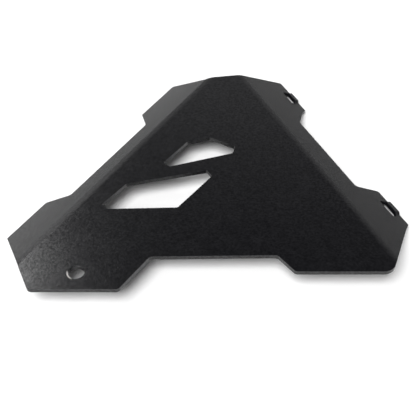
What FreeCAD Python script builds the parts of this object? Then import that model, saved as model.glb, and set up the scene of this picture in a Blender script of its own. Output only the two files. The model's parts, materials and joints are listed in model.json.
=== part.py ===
import FreeCAD, Part
import math
import os

# Engine case guard: one aluminium sheet, cut to outline and folded down along two straight lines.
# Millimetres, +Z up.  The plate lies level and stands on the lobes of its two flanges.
# The wide front edge faces -Y.  While it is drawn, the plan datum is x = 0 near the middle of the
# front edge and y = 0 on the foremost edge; at the end the part is set on the middle of its base.

# Sheet
sheet_thickness = 2.5
stand_height = 15.0
inside_bend_radius = 10.5
lobe_corner_radius = 1.6
waist_corner_radius = 3.0
left_front_corner_radius = 3.2
right_front_corner_straight = 0.25
window_corner_radius = 1.6

# Top edge of the plate, between the two fold lines
top_edge_y = 201.7
top_edge_rise_deg = 8.6
left_fold_top_x = 1.4
right_fold_top_x = 23.8

# Fold lines: turn is the lean from the Y axis, drop is how far the flange is folded below the plate,
# end is how far behind the foremost edge the fold runs out
left_turn_deg = 30.7
left_drop_deg = 25.0
left_fold_end_y = 19.2
right_turn_deg = 24.0
right_drop_deg = 22.0
right_fold_end_y = 20.8

# Front edge: the left lobe is foremost, the right lobe and the ends of the middle are set back from it
left_front_corner_x = -96.8
left_notch_front_x = -48.0
left_notch_back_x = -32.4
right_notch_back_x = 38.8
right_notch_front_x = 48.0
right_front_corner_x = 101.6
middle_left_setback = 23.5
middle_right_setback = 24.5
right_lobe_setback = 12.5

# Left flange along its fold: the upper lobe from the top edge, the lower lobe from the fold's front end
left_upper_start = 8.7
left_upper_length = 40.5
left_upper_ramp = 15.0
left_lower_gap = 19.2
left_lower_length = 35.8
left_lower_ramp = 8.5
left_waist_width = 14.9

# Right flange along its fold, measured in the same way
right_upper_start = 5.8
right_upper_length = 37.5
right_upper_ramp = 17.2
right_lower_gap = 29.9
right_lower_length = 32.8
right_lower_ramp = 4.8
right_waist_width = 18.1

# Spur: the lower outer corner of each right lobe is drawn out to a short point
spur_along = 4.0
spur_inset = 5.2
spur_radius = 0.6

# Oblong fixing slots near the outer edge of the right lobes, measured as the lobes are; the land
# outside each slot is pressed up into a low bridge
slot_width = 3.4
slot_length = 15.0
slot_corner_radius = 1.2
slot_land = 3.0
upper_slot_start = 26.9
lower_slot_gap = 45.6
bridge_lift = 1.4
bridge_ramp = 1.5

# Round bolt hole in the left front lobe
bolt_hole_diameter = 9.0
bolt_hole_x = -72.0
bolt_hole_setback = 12.0
bolt_hole_lip_radius = 0.3

# Windows: each corner by its distance along the left fold and inward from it
lower_window_left_along = 148.4
lower_window_left_inset = 12.6
lower_window_front_along = 150.2
lower_window_front_inset = 17.8
lower_window_right_along = 127.8
lower_window_right_inset = 53.1
lower_window_tip_along = 93.0
lower_window_tip_inset = 56.4
lower_window_end_along = 89.7
lower_window_end_inset = 50.9
lower_window_back_along = 126.1
lower_window_back_inset = 14.7
upper_window_left_along = 97.8
upper_window_left_inset = 23.3
upper_window_front_along = 98.9
upper_window_front_inset = 28.7
upper_window_right_along = 67.0
upper_window_right_inset = 56.6
upper_window_tip_along = 60.0
upper_window_tip_inset = 54.9
upper_window_end_along = 60.4
upper_window_end_inset = 35.6
upper_window_back_along = 71.5
upper_window_back_inset = 25.3

# Values that follow from the sizes above
UP = FreeCAD.Vector(0, 0, 1)
outside_bend_radius = inside_bend_radius + sheet_thickness
top_edge_slope = math.tan(math.radians(top_edge_rise_deg))
top_edge_middle_x = (left_fold_top_x + right_fold_top_x) / 2
bridge_half_length = slot_length / 2 - slot_corner_radius
bridge_half_top = bridge_half_length - bridge_ramp


def on_top(x, y):
    """Return the point of the plate's top face above plan position x, y."""
    return FreeCAD.Vector(x, y, stand_height)


def top_edge_point(x):
    """Return the point of the plate's top edge at plan position x."""
    return on_top(x, top_edge_y + (x - top_edge_middle_x) * top_edge_slope)


class Fold:
    """One fold line with the flange beyond it; s runs along the line, w outward from it."""

    def __init__(self, start, along, outward, drop_deg):
        """Keep the line's start, its two directions and the fold angle."""
        self.start = start
        self.along = along
        self.outward = outward
        self.angle = math.radians(drop_deg)
        self.normal = UP * math.cos(self.angle) + outward * math.sin(self.angle)
        self.downhill = outward * math.cos(self.angle) - UP * math.sin(self.angle)
        self.setback = outside_bend_radius * math.tan(self.angle / 2)

    def plate(self, s, w):
        """Return a point of the plate's top face, w being negative inside the fold line."""
        return self.start + self.along * s + self.outward * w

    def flange(self, s, w):
        """Return a point of the flange's top face."""
        return self.start + self.along * s + self.downhill * w

    def standing_width(self):
        """Return the flange width that just reaches the ground."""
        reach = stand_height - sheet_thickness * math.cos(self.angle)
        return reach / math.sin(self.angle)

    def crossing(self, through, s):
        """Return where a straight cut through a plate point and s on the line meets the bend's rims.

        The cut is straight in the flat sheet, so it leaves the bend as far along as it came in.
        """
        offset = through - self.plate(s, 0)
        lean = offset.dot(self.along) / offset.dot(self.outward)
        return s - lean * self.setback, s + lean * self.setback


def turn_radius(before, corner, after, straight):
    """Return the radius of a corner whose arc stops a straight run short of the point after it."""
    half = (before - corner).getAngle(after - corner) / 2
    return ((after - corner).Length - straight) * math.tan(half)


def rounded_wire(corners):
    """Return a closed wire through the (point, radius) corners, each turned with a tangent arc."""
    edges = []
    arcs = []
    count = len(corners)
    for index, (point, radius) in enumerate(corners):
        back = (corners[index - 1][0] - point).normalize()
        ahead = (corners[(index + 1) % count][0] - point).normalize()
        half = back.getAngle(ahead) / 2
        run = radius / math.tan(half)
        middle = point + (back + ahead).normalize() * (radius / math.sin(half) - radius)
        arcs.append((point + back * run, middle, point + ahead * run, radius))
    for index, (enter, middle, leave, radius) in enumerate(arcs):
        if radius > 0:
            edges.append(Part.Arc(enter, middle, leave).toShape())
        edges.append(Part.makeLine(leave, arcs[(index + 1) % count][0]))
    return Part.Wire(edges)


def slab(outline, openings, normal):
    """Return the flat piece of sheet under an outline, less the openings through it."""
    face = Part.Face(rounded_wire(outline))
    solid = face.extrude(normal * -sheet_thickness)
    for opening in openings:
        cutter = Part.Face(opening).extrude(normal * (-3 * sheet_thickness))
        cutter.translate(normal * sheet_thickness)
        solid = solid.cut(cutter)
    return solid


def slot_wire(fold, at, near, far):
    """Return the outline of one slot on a flange, its length along the fold, between two widths."""
    half = slot_length / 2
    corners = [
        fold.flange(at - half, near),
        fold.flange(at + half, near),
        fold.flange(at + half, far),
        fold.flange(at - half, far),
    ]
    return rounded_wire([(corner, slot_corner_radius) for corner in corners])


def with_bridge(flange, fold, at, near, far):
    """Return the flange with the land between two widths pressed up into a bridge beside one slot."""
    up = fold.normal * bridge_lift
    down = fold.normal * -sheet_thickness
    top = [
        fold.flange(at - bridge_half_length, near),
        fold.flange(at - bridge_half_top, near) + up,
        fold.flange(at + bridge_half_top, near) + up,
        fold.flange(at + bridge_half_length, near),
    ]
    under = [point + down for point in reversed(top)]
    bridge = Part.Face(Part.makePolygon(top + under + top[:1])).extrude(fold.downhill * (far - near))
    land = [top[0], top[-1]]
    land += [point + fold.downhill * (far - near + sheet_thickness) for point in reversed(land)]
    clearing = Part.Face(Part.makePolygon(land + land[:1])).extrude(down)
    return flange.cut(clearing).fuse(bridge)


def bend_strip(fold, top_cut, front_cut):
    """Return the bent strip between plate and flange, its ends square to the sheet all the way round.

    Each cut is the pair of distances along the fold at the plate's rim and at the flange's rim.
    """
    axis = UP.cross(fold.outward)
    sense = axis.dot(fold.along)
    rims = [(0, top_cut[0]), (fold.angle, top_cut[1]), (fold.angle, front_cut[1]), (0, front_cut[0])]
    rims = [FreeCAD.Base.Vector2d(turn, s * sense) for turn, s in rims]
    skins = []
    for radius in (outside_bend_radius, inside_bend_radius):
        cylinder = Part.Cylinder()
        cylinder.Radius = radius
        edges = []
        for index, rim in enumerate(rims):
            line = Part.Geom2d.Line2dSegment(rim, rims[(index + 1) % len(rims)])
            edges.append(line.toShape(cylinder))
        skins.append((Part.Face(cylinder, Part.Wire(edges)), edges))
    (outer, outer_edges), (inner, inner_edges) = skins
    sides = [Part.makeRuledSurface(a, b) for a, b in zip(outer_edges, inner_edges)]
    shell = Part.makeShell([outer, inner] + sides)
    shell.sewShape()
    strip = Part.makeSolid(shell)
    if strip.Volume < 0:
        strip.reverse()
    centre = fold.plate(0, -fold.setback) - UP * outside_bend_radius
    strip.Placement = FreeCAD.Placement(FreeCAD.Matrix(
        UP.x, fold.outward.x, axis.x, centre.x,
        UP.y, fold.outward.y, axis.y, centre.y,
        UP.z, fold.outward.z, axis.z, centre.z,
        0, 0, 0, 1))
    return strip


# Fold lines in plan
left_turn = math.radians(left_turn_deg)
right_turn = math.radians(right_turn_deg)
left = Fold(
    top_edge_point(left_fold_top_x),
    FreeCAD.Vector(-math.sin(left_turn), -math.cos(left_turn), 0),
    FreeCAD.Vector(-math.cos(left_turn), math.sin(left_turn), 0),
    left_drop_deg)
right = Fold(
    top_edge_point(right_fold_top_x),
    FreeCAD.Vector(math.sin(right_turn), -math.cos(right_turn), 0),
    FreeCAD.Vector(math.cos(right_turn), math.sin(right_turn), 0),
    right_drop_deg)

# Where the folds run out and where the outline crosses them
left_fold_length = (left.start.y - left_fold_end_y) / math.cos(left_turn)
right_fold_length = (right.start.y - right_fold_end_y) / math.cos(right_turn)
left_front_corner = on_top(left_front_corner_x, 0)
right_front_corner = on_top(right_front_corner_x, right_lobe_setback)
left_top_cut = left.crossing(right.start, 0)
right_top_cut = right.crossing(left.start, 0)
left_front_cut = left.crossing(left_front_corner, left_fold_length)
right_front_cut = right.crossing(right_front_corner, right_fold_length)

# Flat plate with its bolt hole and two windows; its right front corner turns right up to the bend
right_notch_front = on_top(right_notch_front_x, right_lobe_setback)
right_front_rim = right.plate(right_front_cut[0], -right.setback)
right_front_corner_radius = turn_radius(
    right_notch_front, right_front_corner, right_front_rim, right_front_corner_straight)
plate_outline = [
    (left_front_corner, left_front_corner_radius),
    (on_top(left_notch_front_x, 0), waist_corner_radius),
    (on_top(left_notch_back_x, middle_left_setback), waist_corner_radius),
    (on_top(right_notch_back_x, middle_right_setback), waist_corner_radius),
    (right_notch_front, waist_corner_radius),
    (right_front_corner, right_front_corner_radius),
    (right_front_rim, 0),
    (right.plate(right_top_cut[0], -right.setback), 0),
    (left.plate(left_top_cut[0], -left.setback), 0),
    (left.plate(left_front_cut[0], -left.setback), 0),
]
lower_window = [
    left.plate(lower_window_left_along, -lower_window_left_inset),
    left.plate(lower_window_front_along, -lower_window_front_inset),
    left.plate(lower_window_right_along, -lower_window_right_inset),
    left.plate(lower_window_tip_along, -lower_window_tip_inset),
    left.plate(lower_window_end_along, -lower_window_end_inset),
    left.plate(lower_window_back_along, -lower_window_back_inset),
]
upper_window = [
    left.plate(upper_window_left_along, -upper_window_left_inset),
    left.plate(upper_window_front_along, -upper_window_front_inset),
    left.plate(upper_window_right_along, -upper_window_right_inset),
    left.plate(upper_window_tip_along, -upper_window_tip_inset),
    left.plate(upper_window_end_along, -upper_window_end_inset),
    left.plate(upper_window_back_along, -upper_window_back_inset),
]
bolt_hole_centre = on_top(bolt_hole_x, bolt_hole_setback)
bolt_circle = Part.makeCircle(bolt_hole_diameter / 2, bolt_hole_centre)
plate_openings = [Part.Wire([bolt_circle])]
for window in (lower_window, upper_window):
    plate_openings.append(rounded_wire([(corner, window_corner_radius) for corner in window]))
plate = slab(plate_outline, plate_openings, UP)
lip = [edge for edge in plate.Edges if (edge.CenterOfMass - bolt_hole_centre).Length < bolt_hole_lip_radius]
plate = plate.makeFillet(bolt_hole_lip_radius, lip)

# Left flange: two plain lobes with a waist between them, both lobes just reaching the ground
left_width = left.standing_width()
left_upper_end = left_upper_start + left_upper_length
left_lower_end = left_fold_length - left_lower_gap
left_lower_start = left_lower_end - left_lower_length
left_outline = [
    (left.flange(left_top_cut[1], left.setback), 0),
    (left.flange(left_upper_start, left_width), lobe_corner_radius),
    (left.flange(left_upper_end, left_width), lobe_corner_radius),
    (left.flange(left_upper_end + left_upper_ramp, left_waist_width), waist_corner_radius),
    (left.flange(left_lower_start - left_lower_ramp, left_waist_width), waist_corner_radius),
    (left.flange(left_lower_start, left_width), lobe_corner_radius),
    (left.flange(left_lower_end, left_width), lobe_corner_radius),
    (left.flange(left_front_cut[1], left.setback), 0),
]
left_flange = slab(left_outline, [], left.normal)

# Right flange: two lobes with a slot and a bridge each, both lobes just reaching the ground
right_width = right.standing_width()
right_upper_end = right_upper_start + right_upper_length
right_lower_end = right_fold_length - right_lower_gap
right_lower_start = right_lower_end - right_lower_length
right_outline = [
    (right.flange(right_top_cut[1], right.setback), 0),
    (right.flange(right_upper_start, right_width), lobe_corner_radius),
    (right.flange(right_upper_end, right_width), spur_radius),
    (right.flange(right_upper_end + spur_along, right_width - spur_inset), spur_radius),
    (right.flange(right_upper_end + right_upper_ramp, right_waist_width), waist_corner_radius),
    (right.flange(right_lower_start - right_lower_ramp, right_waist_width), waist_corner_radius),
    (right.flange(right_lower_start, right_width), lobe_corner_radius),
    (right.flange(right_lower_end, right_width), spur_radius),
    (right.flange(right_lower_end + spur_along, right_width - spur_inset), spur_radius),
    (right.flange(right_front_cut[1], right.setback), 0),
]
land_near = right_width - slot_land
slot_near = land_near - slot_width
slot_places = (upper_slot_start, right_fold_length - lower_slot_gap)
slots = [slot_wire(right, at, slot_near, land_near) for at in slot_places]
right_flange = slab(right_outline, slots, right.normal)
for at in slot_places:
    right_flange = with_bridge(right_flange, right, at, land_near, right_width)

# The whole sheet in one piece, set on the middle of its base
guard = plate.multiFuse([
    bend_strip(left, left_top_cut, left_front_cut),
    left_flange,
    bend_strip(right, right_top_cut, right_front_cut),
    right_flange,
]).removeSplitter()
guard = guard.Solids[0]
base = guard.optimalBoundingBox()
guard.translate(FreeCAD.Vector(-base.Center.x, -base.Center.y, -base.ZMin))

os.makedirs("parts", exist_ok=True)
guard.exportStep("parts/guard_plate.step")
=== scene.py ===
import json
import logging
import math
from dataclasses import dataclass
from enum import Enum, IntEnum

import bpy
import numpy as np
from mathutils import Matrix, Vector


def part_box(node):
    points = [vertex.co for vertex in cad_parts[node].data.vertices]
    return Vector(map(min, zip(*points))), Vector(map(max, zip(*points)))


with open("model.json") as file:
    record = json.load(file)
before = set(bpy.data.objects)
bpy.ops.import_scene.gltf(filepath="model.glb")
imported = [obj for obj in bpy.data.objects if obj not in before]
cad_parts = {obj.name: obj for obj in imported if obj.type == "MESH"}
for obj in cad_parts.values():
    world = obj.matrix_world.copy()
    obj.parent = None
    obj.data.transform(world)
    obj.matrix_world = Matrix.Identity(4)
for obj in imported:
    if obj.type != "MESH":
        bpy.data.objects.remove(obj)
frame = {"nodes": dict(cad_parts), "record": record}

# Studio picture of a folded sheet guard for a motorcycle engine case.
# Metres throughout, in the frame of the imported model: +Z up, wide front edge toward -Y.

LOG = logging.getLogger("guard_scene")
IMAGE_SIDE = 416
MILLIMETRE = 0.001

Socket = bpy.types.NodeSocket
Colour = tuple[float, float, float]
Triple = tuple[float, float, float]
Span = tuple[float, float]

RISING: Span = (0.0, 1.0)
FALLING: Span = (1.0, 0.0)
LEVEL_ONLY: Triple = (1.0, 1.0, 0.0)


class LampPlace(Enum):
    """Where a soft box hangs, as azimuth from the back edge and height above the floor, in degrees."""

    FRONT_LEFT = (-156.0, 55.0)
    BACK_LEFT = (-34.0, 47.0)


class MixSocket(IntEnum):
    """Places of the colour sockets on a Mix node; the result is counted among its outputs."""

    SHARE = 0
    FIRST = 6
    SECOND = 7
    RESULT = 2


class NodeKind(Enum):
    """Shader node types that the finishes are made from."""

    COORDINATES = "ShaderNodeTexCoord"
    NOISE = "ShaderNodeTexNoise"
    CELLS = "ShaderNodeTexVoronoi"
    RANGE = "ShaderNodeMapRange"
    RAMP = "ShaderNodeValToRGB"
    MIX = "ShaderNodeMix"
    MATH = "ShaderNodeMath"
    VECTOR_MATH = "ShaderNodeVectorMath"
    BUMP = "ShaderNodeBump"
    ROUND = "ShaderNodeBevel"
    GEOMETRY = "ShaderNodeNewGeometry"
    LIGHT_PATH = "ShaderNodeLightPath"
    SEPARATE = "ShaderNodeSeparateXYZ"


class NodeBench:
    """Small helper that adds and joins the nodes of one node tree."""

    def __init__(self, tree: bpy.types.NodeTree) -> None:
        """Keep the tree that the nodes go into."""
        self.tree = tree

    def add(self, kind: NodeKind, **settings: object) -> bpy.types.Node:
        """Add one node.

        Args:
            kind: the type of node.
            settings: node properties to set by name.

        Returns:
            The new node.
        """
        node = self.tree.nodes.new(kind.value)
        for name, value in settings.items():
            setattr(node, name, value)
        return node

    def join(self, source: Socket, target: Socket) -> None:
        """Join an output socket to an input socket."""
        self.tree.links.new(source, target)

    def noise(self, place: Socket, grain: float, octaves: float) -> Socket:
        """Add a cloud noise.

        Args:
            place: vector socket that the noise reads.
            grain: size of one cloud in metres.
            octaves: number of finer octaves.

        Returns:
            The noise's factor socket.
        """
        node = self.add(NodeKind.NOISE)
        node.inputs["Scale"].default_value = 1.0 / grain
        node.inputs["Detail"].default_value = octaves
        self.join(place, node.inputs["Vector"])
        return node.outputs["Fac"]

    def stretch(self, value: Socket, source: Span, result: Span) -> Socket:
        """Carry a value from one span to another in a straight line, clamped at both ends.

        Args:
            value: socket to read.
            source: the values that become the two ends of the result.
            result: the two ends of the result.

        Returns:
            The result socket.
        """
        node = self.add(NodeKind.RANGE)
        node.inputs["From Min"].default_value, node.inputs["From Max"].default_value = source
        node.inputs["To Min"].default_value, node.inputs["To Max"].default_value = result
        self.join(value, node.inputs["Value"])
        return node.outputs["Result"]

    def combine(self, operation: str, first: Socket, second: Socket) -> Socket:
        """Combine two numbers.

        Args:
            operation: name of the sum, such as ADD or MULTIPLY.
            first: socket with the first number.
            second: socket with the second number.

        Returns:
            The result socket.
        """
        node = self.add(NodeKind.MATH, operation=operation)
        self.join(first, node.inputs[0])
        self.join(second, node.inputs[1])
        return node.outputs["Value"]

    def combine_vectors(self, operation: str, first: Socket,
                        second: Socket | Vector | Triple) -> bpy.types.Node:
        """Combine two vectors.

        Args:
            operation: name of the sum, such as ADD or DOT_PRODUCT.
            first: socket with the first vector.
            second: socket with the second vector, or its three parts.

        Returns:
            The node, whose result is its Vector or its Value.
        """
        node = self.add(NodeKind.VECTOR_MATH, operation=operation)
        self.join(first, node.inputs[0])
        if isinstance(second, Socket):
            self.join(second, node.inputs[1])
        else:
            node.inputs[1].default_value = second
        return node

    def blend(self, share: Socket, first: Socket | Colour, second: Colour) -> Socket:
        """Mix two colours by a share.

        Args:
            share: socket holding 0 for the first colour and 1 for the second.
            first: colour socket, or linear red, green and blue.
            second: linear red, green and blue.

        Returns:
            The mixed colour socket.
        """
        node = self.add(NodeKind.MIX, data_type="RGBA")
        self.join(share, node.inputs[MixSocket.SHARE])
        if isinstance(first, Socket):
            self.join(first, node.inputs[MixSocket.FIRST])
        else:
            node.inputs[MixSocket.FIRST].default_value = (*first, 1.0)
        node.inputs[MixSocket.SECOND].default_value = (*second, 1.0)
        return node.outputs[MixSocket.RESULT]


@dataclass(frozen=True)
class BoltHole:
    """The bolt hole: its centre on the floor plan, its radius, and the height of the plate's top."""

    centre: Triple
    radius: float
    top: float

    @classmethod
    def from_frame(cls, node: str, mount: str) -> "BoltHole":
        """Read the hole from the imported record.

        Args:
            node: name of the node that the hole goes through.
            mount: name of the hole in the record's mounts.

        Returns:
            The hole.
        """
        found = next(entry for entry in frame["record"]["mounts"] if entry["name"] == mount)
        across, along, _ = found["pos_m"]
        _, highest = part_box(node)
        return cls((across, along, 0.0), found["dims"]["r_mm"] * MILLIMETRE, highest[2])


@dataclass(frozen=True)
class PowderCoat:
    """Matt black powder coat: fine even grain, faint mottling, thinner and paler on the cut edges.

    A field that ends in span is the stretch of a noise or a lean that is used; the field it is
    carried to gives the values at its two ends.
    """

    name: str = "black_powder_coat"
    dark: Colour = (0.0029, 0.0029, 0.0037)
    pale: Colour = (0.0060, 0.0060, 0.0075)
    grain: float = 1.2 * MILLIMETRE
    grain_octaves: float = 1.0
    grain_span: Span = (0.30, 0.72)
    grain_height: float = 0.020 * MILLIMETRE
    gloss: Span = (0.33, 0.71)
    pimple: float = 1.6 * MILLIMETRE
    pimple_span: Span = (0.0, 0.7)
    pimple_rise: Span = (0.6, 0.0)
    mottle: float = 9 * MILLIMETRE
    mottle_octaves: float = 4.0
    mottle_span: Span = (0.25, 0.75)
    mottle_share: Span = (0.55, 1.0)
    roughness_span: Span = (0.3, 0.7)
    roughness: Span = (0.23, 0.26)
    edge: Colour = (0.024, 0.024, 0.025)
    edge_reach: float = 0.45 * MILLIMETRE
    edge_samples: int = 6
    edge_span: Span = (0.995, 0.86)
    edge_cover: Span = (0.0, 0.8)
    # Painted highlight: pale colour for a crescent of the bolt hole's rim, standing in for the light that
    # the rim catches.
    rim_highlight: Colour = (0.80, 0.77, 0.74)
    rim_highlight_toward: Triple = (-0.87, -0.49, 0.0)
    rim_highlight_turn: float = 0.80
    rim_highlight_reach: float = 1.0 * MILLIMETRE
    rim_highlight_depth: Span = (1.4 * MILLIMETRE, 0.4 * MILLIMETRE)

    def material(self, hole: BoltHole) -> bpy.types.Material:
        """Build the coat.

        Colour is a mix of dark and pale by grain and mottling, lifted on rounded edges, with a painted
        highlight on a crescent of the bolt hole's rim.  Roughness follows the mottling and gloss the
        grain.

        Args:
            hole: the bolt hole whose rim gets the painted highlight.

        Returns:
            The finished material.
        """
        material = bpy.data.materials.new(self.name)
        material.use_nodes = True
        bench = NodeBench(material.node_tree)
        shader = material.node_tree.nodes["Principled BSDF"]
        place = bench.add(NodeKind.COORDINATES).outputs["Object"]
        grain = bench.noise(place, self.grain, self.grain_octaves)
        mottle = bench.noise(place, self.mottle, self.mottle_octaves)

        speckle = bench.combine("MULTIPLY", bench.stretch(grain, self.grain_span, RISING),
                                bench.stretch(mottle, self.mottle_span, self.mottle_share))
        ground = bench.blend(speckle, self.dark, self.pale)
        edged = bench.blend(self.edge_share(bench), ground, self.edge)
        # Painted highlight: pale crescent on the front-left of the bolt hole's rim.
        highlighted = bench.blend(self.rim_highlight_share(bench, place, hole), edged, self.rim_highlight)
        bench.join(highlighted, shader.inputs["Base Color"])

        bench.join(bench.stretch(mottle, self.roughness_span, self.roughness), shader.inputs["Roughness"])
        bench.join(bench.stretch(grain, self.grain_span, self.gloss), shader.inputs["Specular IOR Level"])
        bench.join(self.relief(bench, place, grain), shader.inputs["Normal"])
        return material

    def relief(self, bench: NodeBench, place: Socket, grain: Socket) -> Socket:
        """Raise the coat by the sum of its grain and of shallow cells.

        Args:
            bench: helper for the coat's node tree.
            place: vector socket with the place on the sheet.
            grain: socket with the grain's noise.

        Returns:
            Socket with the raised surface's normal.
        """
        cells = bench.add(NodeKind.CELLS)
        cells.inputs["Scale"].default_value = 1.0 / self.pimple
        bench.join(place, cells.inputs["Vector"])
        pimples = bench.stretch(cells.outputs["Distance"], self.pimple_span, self.pimple_rise)
        bump = bench.add(NodeKind.BUMP)
        bump.inputs["Distance"].default_value = self.grain_height
        bench.join(bench.combine("ADD", grain, pimples), bump.inputs["Height"])
        return bump.outputs["Normal"]

    def edge_share(self, bench: NodeBench) -> Socket:
        """Find the sheet's rounded edges.

        The rounded normal leans away from the true one only near an edge, so their dot product,
        stretched, is the share of edge colour.

        Args:
            bench: helper for the coat's node tree.

        Returns:
            Socket with 0 on the flats and the most cover on the edges.
        """
        rounded = bench.add(NodeKind.ROUND, samples=self.edge_samples)
        rounded.inputs["Radius"].default_value = self.edge_reach
        true_normal = bench.add(NodeKind.GEOMETRY).outputs["Normal"]
        lean = bench.combine_vectors("DOT_PRODUCT", rounded.outputs["Normal"], true_normal)
        return bench.stretch(lean.outputs["Value"], self.edge_span, self.edge_cover)

    def rim_highlight_share(self, bench: NodeBench, place: Socket, hole: BoltHole) -> Socket:
        """Find the crescent on the front-left of the bolt hole's rim that gets a painted highlight,
        pale colour standing in for the light that the rim catches.

        The share is the product of three falls: with the distance from the hole's wall, with the turn
        away from the highlighted side, and with the depth below the plate's top.

        Args:
            bench: helper for the coat's node tree.
            place: vector socket with the place on the sheet.
            hole: the bolt hole.

        Returns:
            Socket with 0 on the coat and 1 on the crescent.
        """
        split = bench.add(NodeKind.SEPARATE)
        bench.join(place, split.inputs["Vector"])
        level = bench.combine_vectors("MULTIPLY", place, LEVEL_ONLY).outputs["Vector"]
        offset = bench.combine_vectors("SUBTRACT", level, hole.centre).outputs["Vector"]
        away = bench.combine_vectors("DISTANCE", level, hole.centre).outputs["Value"]
        turn = bench.combine_vectors("DOT_PRODUCT", offset, self.rim_highlight_toward).outputs["Value"]
        deepest, full = (hole.top - depth for depth in self.rim_highlight_depth)

        near = bench.stretch(away, (hole.radius, hole.radius + self.rim_highlight_reach), FALLING)
        facing = bench.stretch(turn, (self.rim_highlight_turn * hole.radius, hole.radius), RISING)
        high = bench.stretch(split.outputs["Z"], (deepest, full), RISING)
        return bench.combine("MULTIPLY", bench.combine("MULTIPLY", near, facing), high)


@dataclass(frozen=True)
class StudioPaper:
    """Plain white studio floor; what the camera sees of it is lifted to white, its shadow kept."""

    name: str = "white_studio_paper"
    bounced: Colour = (0.78, 0.78, 0.78)
    seen: Colour = (0.95, 0.95, 0.95)

    def material(self) -> bpy.types.Material:
        """Build the paper, its colour chosen by whether the camera or a bounce looks at it.

        Returns:
            The finished material.
        """
        material = bpy.data.materials.new(self.name)
        material.use_nodes = True
        bench = NodeBench(material.node_tree)
        shader = material.node_tree.nodes["Principled BSDF"]
        shader.inputs["Roughness"].default_value = 1.0
        shader.inputs["Specular IOR Level"].default_value = 0.0
        path = bench.add(NodeKind.LIGHT_PATH)
        seen = path.outputs["Is Camera Ray"]
        for ray in ("Is Glossy Ray", "Is Transmission Ray"):
            seen = bench.combine("MAXIMUM", seen, path.outputs[ray])
        bench.join(bench.blend(seen, self.bounced, self.seen), shader.inputs["Base Color"])
        return material


@dataclass
class GuardSheet:
    """The folded sheet itself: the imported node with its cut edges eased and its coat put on."""

    node: str = "guard_plate"
    hole_mount: str = "bolt_hole"
    edge_round: float = 0.35 * MILLIMETRE
    edge_steps: int = 2
    sharp_deg: float = 40.0
    weld_gap: float = 0.002 * MILLIMETRE
    flat_weight: int = 100
    coat: PowderCoat = PowderCoat()

    def ease_edges(self, sheet: bpy.types.Object) -> None:
        """Join the sheet's triangles and round every cut edge a little, as deburring and coating do.

        The shading then follows the large faces, so flats stay flat and the bends turn evenly.

        Args:
            sheet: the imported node's object.
        """
        weld = sheet.modifiers.new("join_triangles", "WELD")
        weld.merge_threshold = self.weld_gap
        ease = sheet.modifiers.new("eased_edges", "BEVEL")
        ease.limit_method = "ANGLE"
        ease.angle_limit = math.radians(self.sharp_deg)
        ease.width = self.edge_round
        ease.segments = self.edge_steps
        shade = sheet.modifiers.new("even_shading", "WEIGHTED_NORMAL")
        shade.mode = "FACE_AREA"
        shade.weight = self.flat_weight
        shade.keep_sharp = False

    def dress(self, sheet: bpy.types.Object) -> None:
        """Put the coat on every face of the sheet.

        Args:
            sheet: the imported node's object.
        """
        hole = BoltHole.from_frame(self.node, self.hole_mount)
        sheet.data.materials.clear()
        sheet.data.materials.append(self.coat.material(hole))

    def build(self) -> bpy.types.Object:
        """Finish the sheet.

        Returns:
            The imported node's object with its edges eased and its coat on.
        """
        sheet = frame["nodes"][self.node]
        self.ease_edges(sheet)
        self.dress(sheet)
        LOG.info("sheet %s: %d triangles before easing", sheet.name, len(sheet.data.polygons))
        return sheet


@dataclass
class StudioFloor:
    """Wide level paper that the guard stands on."""

    name: str = "studio_floor"
    half_width: float = 3.0
    steps: int = 9
    paper: StudioPaper = StudioPaper()

    def build(self) -> bpy.types.Object:
        """Lay the floor: x and y are even steps over a square, z is zero everywhere.

        Returns:
            The floor object.
        """
        line = np.linspace(-self.half_width, self.half_width, self.steps)
        across, along = np.meshgrid(line, line)
        points = np.stack([across, along, np.zeros_like(across)], axis=-1).reshape(-1, 3)
        corner = np.arange(self.steps * self.steps).reshape(self.steps, self.steps)
        faces = np.stack([corner[:-1, :-1], corner[:-1, 1:], corner[1:, 1:], corner[1:, :-1]], axis=-1)
        mesh = bpy.data.meshes.new(self.name)
        mesh.from_pydata(points.tolist(), [], faces.reshape(-1, 4).tolist())
        mesh.materials.append(self.paper.material())
        floor = bpy.data.objects.new(self.name, mesh)
        bpy.context.scene.collection.objects.link(floor)
        LOG.info("floor: %.1f m square", 2 * self.half_width)
        return floor


def bearing(azimuth_deg: float, height_deg: float) -> Vector:
    """Work out a direction from the middle of the floor.

    x is sin(azimuth) cos(height), y is cos(azimuth) cos(height) and z is sin(height).

    Args:
        azimuth_deg: turn from the back edge, positive to the right.
        height_deg: angle above the floor.

    Returns:
        The unit vector.
    """
    azimuth = math.radians(azimuth_deg)
    height = math.radians(height_deg)
    level = math.cos(height)
    return Vector((level * math.sin(azimuth), level * math.cos(azimuth), math.sin(height)))


@dataclass
class SoftBox:
    """One square soft box that faces the guard."""

    name: str
    place: LampPlace
    distance: float
    side: float
    power: float

    def build(self) -> bpy.types.Object:
        """Hang the soft box at its place, turned to the middle of the floor.

        Returns:
            The lamp object.
        """
        spot = bearing(*self.place.value) * self.distance
        lamp = bpy.data.lights.new(self.name, "AREA")
        lamp.shape = "SQUARE"
        lamp.size = self.side
        lamp.energy = self.power
        box = bpy.data.objects.new(self.name, lamp)
        box.location = spot
        box.rotation_euler = (-spot).to_track_quat("-Z", "Y").to_euler()
        bpy.context.scene.collection.objects.link(box)
        LOG.info("soft box %s at %s", self.name, tuple(round(value, 2) for value in spot))
        return box


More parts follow.
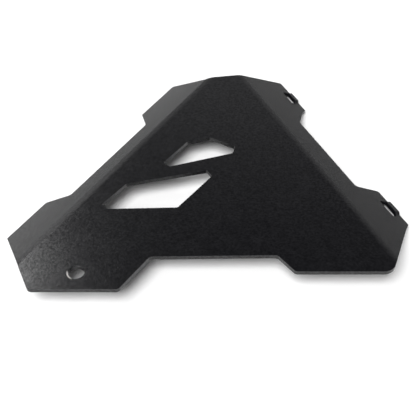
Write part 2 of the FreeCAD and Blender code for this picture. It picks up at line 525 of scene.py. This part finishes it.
@dataclass
class StudioRoom:
    """Even light of the room round the table: pale walls, a dark ceiling and a glow on the left wall.

    Each band is the sine of its height above the floor and its brightness.  The left wall's glow comes
    on top of that and fades in over a span of the lean toward it, the cosine of the angle between.
    """

    name: str = "studio_room"
    wall_foot: Span = (0.08, 0.33)
    wall: Span = (0.30, 0.35)
    wall_head: Span = (0.46, 0.38)
    cornice: Span = (0.57, 0.37)
    ceiling_rim: Span = (0.68, 0.09)
    ceiling: Span = (0.80, 0.03)
    left_azimuth_deg: float = -60.0
    left_height_deg: float = 30.0
    left_span: Span = (0.77, 0.88)
    left_glow: float = 0.9

    def build(self) -> bpy.types.World:
        """Shade the world by each direction's height above the floor and its lean to the left wall.

        Returns:
            The world.
        """
        world = bpy.data.worlds.new(self.name)
        world.use_nodes = True
        bench = NodeBench(world.node_tree)
        direction = bench.add(NodeKind.COORDINATES).outputs["Generated"]
        toward = bearing(self.left_azimuth_deg, self.left_height_deg)
        lean = bench.combine_vectors("DOT_PRODUCT", direction, toward).outputs["Value"]
        glow = bench.stretch(lean, self.left_span, (0.0, self.left_glow))
        light = bench.combine_vectors("ADD", self.bands(bench, direction), glow).outputs["Vector"]
        bench.join(light, world.node_tree.nodes["Background"].inputs["Color"])
        bpy.context.scene.world = world
        LOG.info("room: walls %.2f, ceiling %.2f", self.wall[1], self.ceiling[1])
        return world

    def bands(self, bench: NodeBench, direction: Socket) -> Socket:
        """Grade the room's light from the foot of the walls to the ceiling.

        Args:
            bench: helper for the world's node tree.
            direction: vector socket with the direction that is looked in.

        Returns:
            Socket with the light of that height.
        """
        split = bench.add(NodeKind.SEPARATE)
        bench.join(direction, split.inputs["Vector"])
        ramp = bench.add(NodeKind.RAMP)
        stops = ramp.color_ramp.elements
        stops.remove(stops[1])
        bands = (self.wall_foot, self.wall, self.wall_head, self.cornice, self.ceiling_rim, self.ceiling)
        for index, (height, brightness) in enumerate(bands):
            stop = stops.new(height) if index else stops[0]
            stop.position = height
            stop.color = (brightness, brightness, brightness, 1.0)
        bench.join(split.outputs["Z"], ramp.inputs["Fac"])
        return ramp.outputs["Color"]


@dataclass
class PhotoCamera:
    """Camera at the photograph's place: in front of the wide edge, looking down on the plate."""

    name: str = "photo_camera"
    focal_pixels: float = 730.0
    azimuth_deg: float = 180.0
    height_deg: float = 44.0
    distance: float = 0.435
    near_limit: float = 0.01
    target: Triple = (-0.001059, -0.042799, 0.015)

    def build(self) -> bpy.types.Object:
        """Set the camera up and make it the scene's own.

        Returns:
            The camera object.
        """
        away = bearing(self.azimuth_deg, self.height_deg)
        lens = bpy.data.cameras.new(self.name)
        lens.sensor_fit = "HORIZONTAL"
        lens.lens = lens.sensor_width * self.focal_pixels / IMAGE_SIDE
        lens.clip_start = self.near_limit
        camera = bpy.data.objects.new(self.name, lens)
        camera.location = Vector(self.target) + away * self.distance
        camera.rotation_euler = (-away).to_track_quat("-Z", "Y").to_euler()
        bpy.context.scene.collection.objects.link(camera)
        bpy.context.scene.camera = camera
        LOG.info("camera: lens %.1f mm", lens.lens)
        return camera


def main() -> None:
    """Build the camera, the room, the floor, the two soft boxes and the guard in order."""
    logging.basicConfig(level=logging.INFO, format="%(name)s: %(message)s")
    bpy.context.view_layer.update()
    bpy.context.scene.view_settings.view_transform = "Standard"
    PhotoCamera().build()
    StudioRoom().build()
    StudioFloor().build()
    SoftBox("key_soft_box", LampPlace.FRONT_LEFT, distance=4.0, side=2.6, power=205.0).build()
    SoftBox("sheen_soft_box", LampPlace.BACK_LEFT, distance=1.3, side=0.14, power=0.85).build()
    GuardSheet().build()


if __name__ == "__main__":
    main()
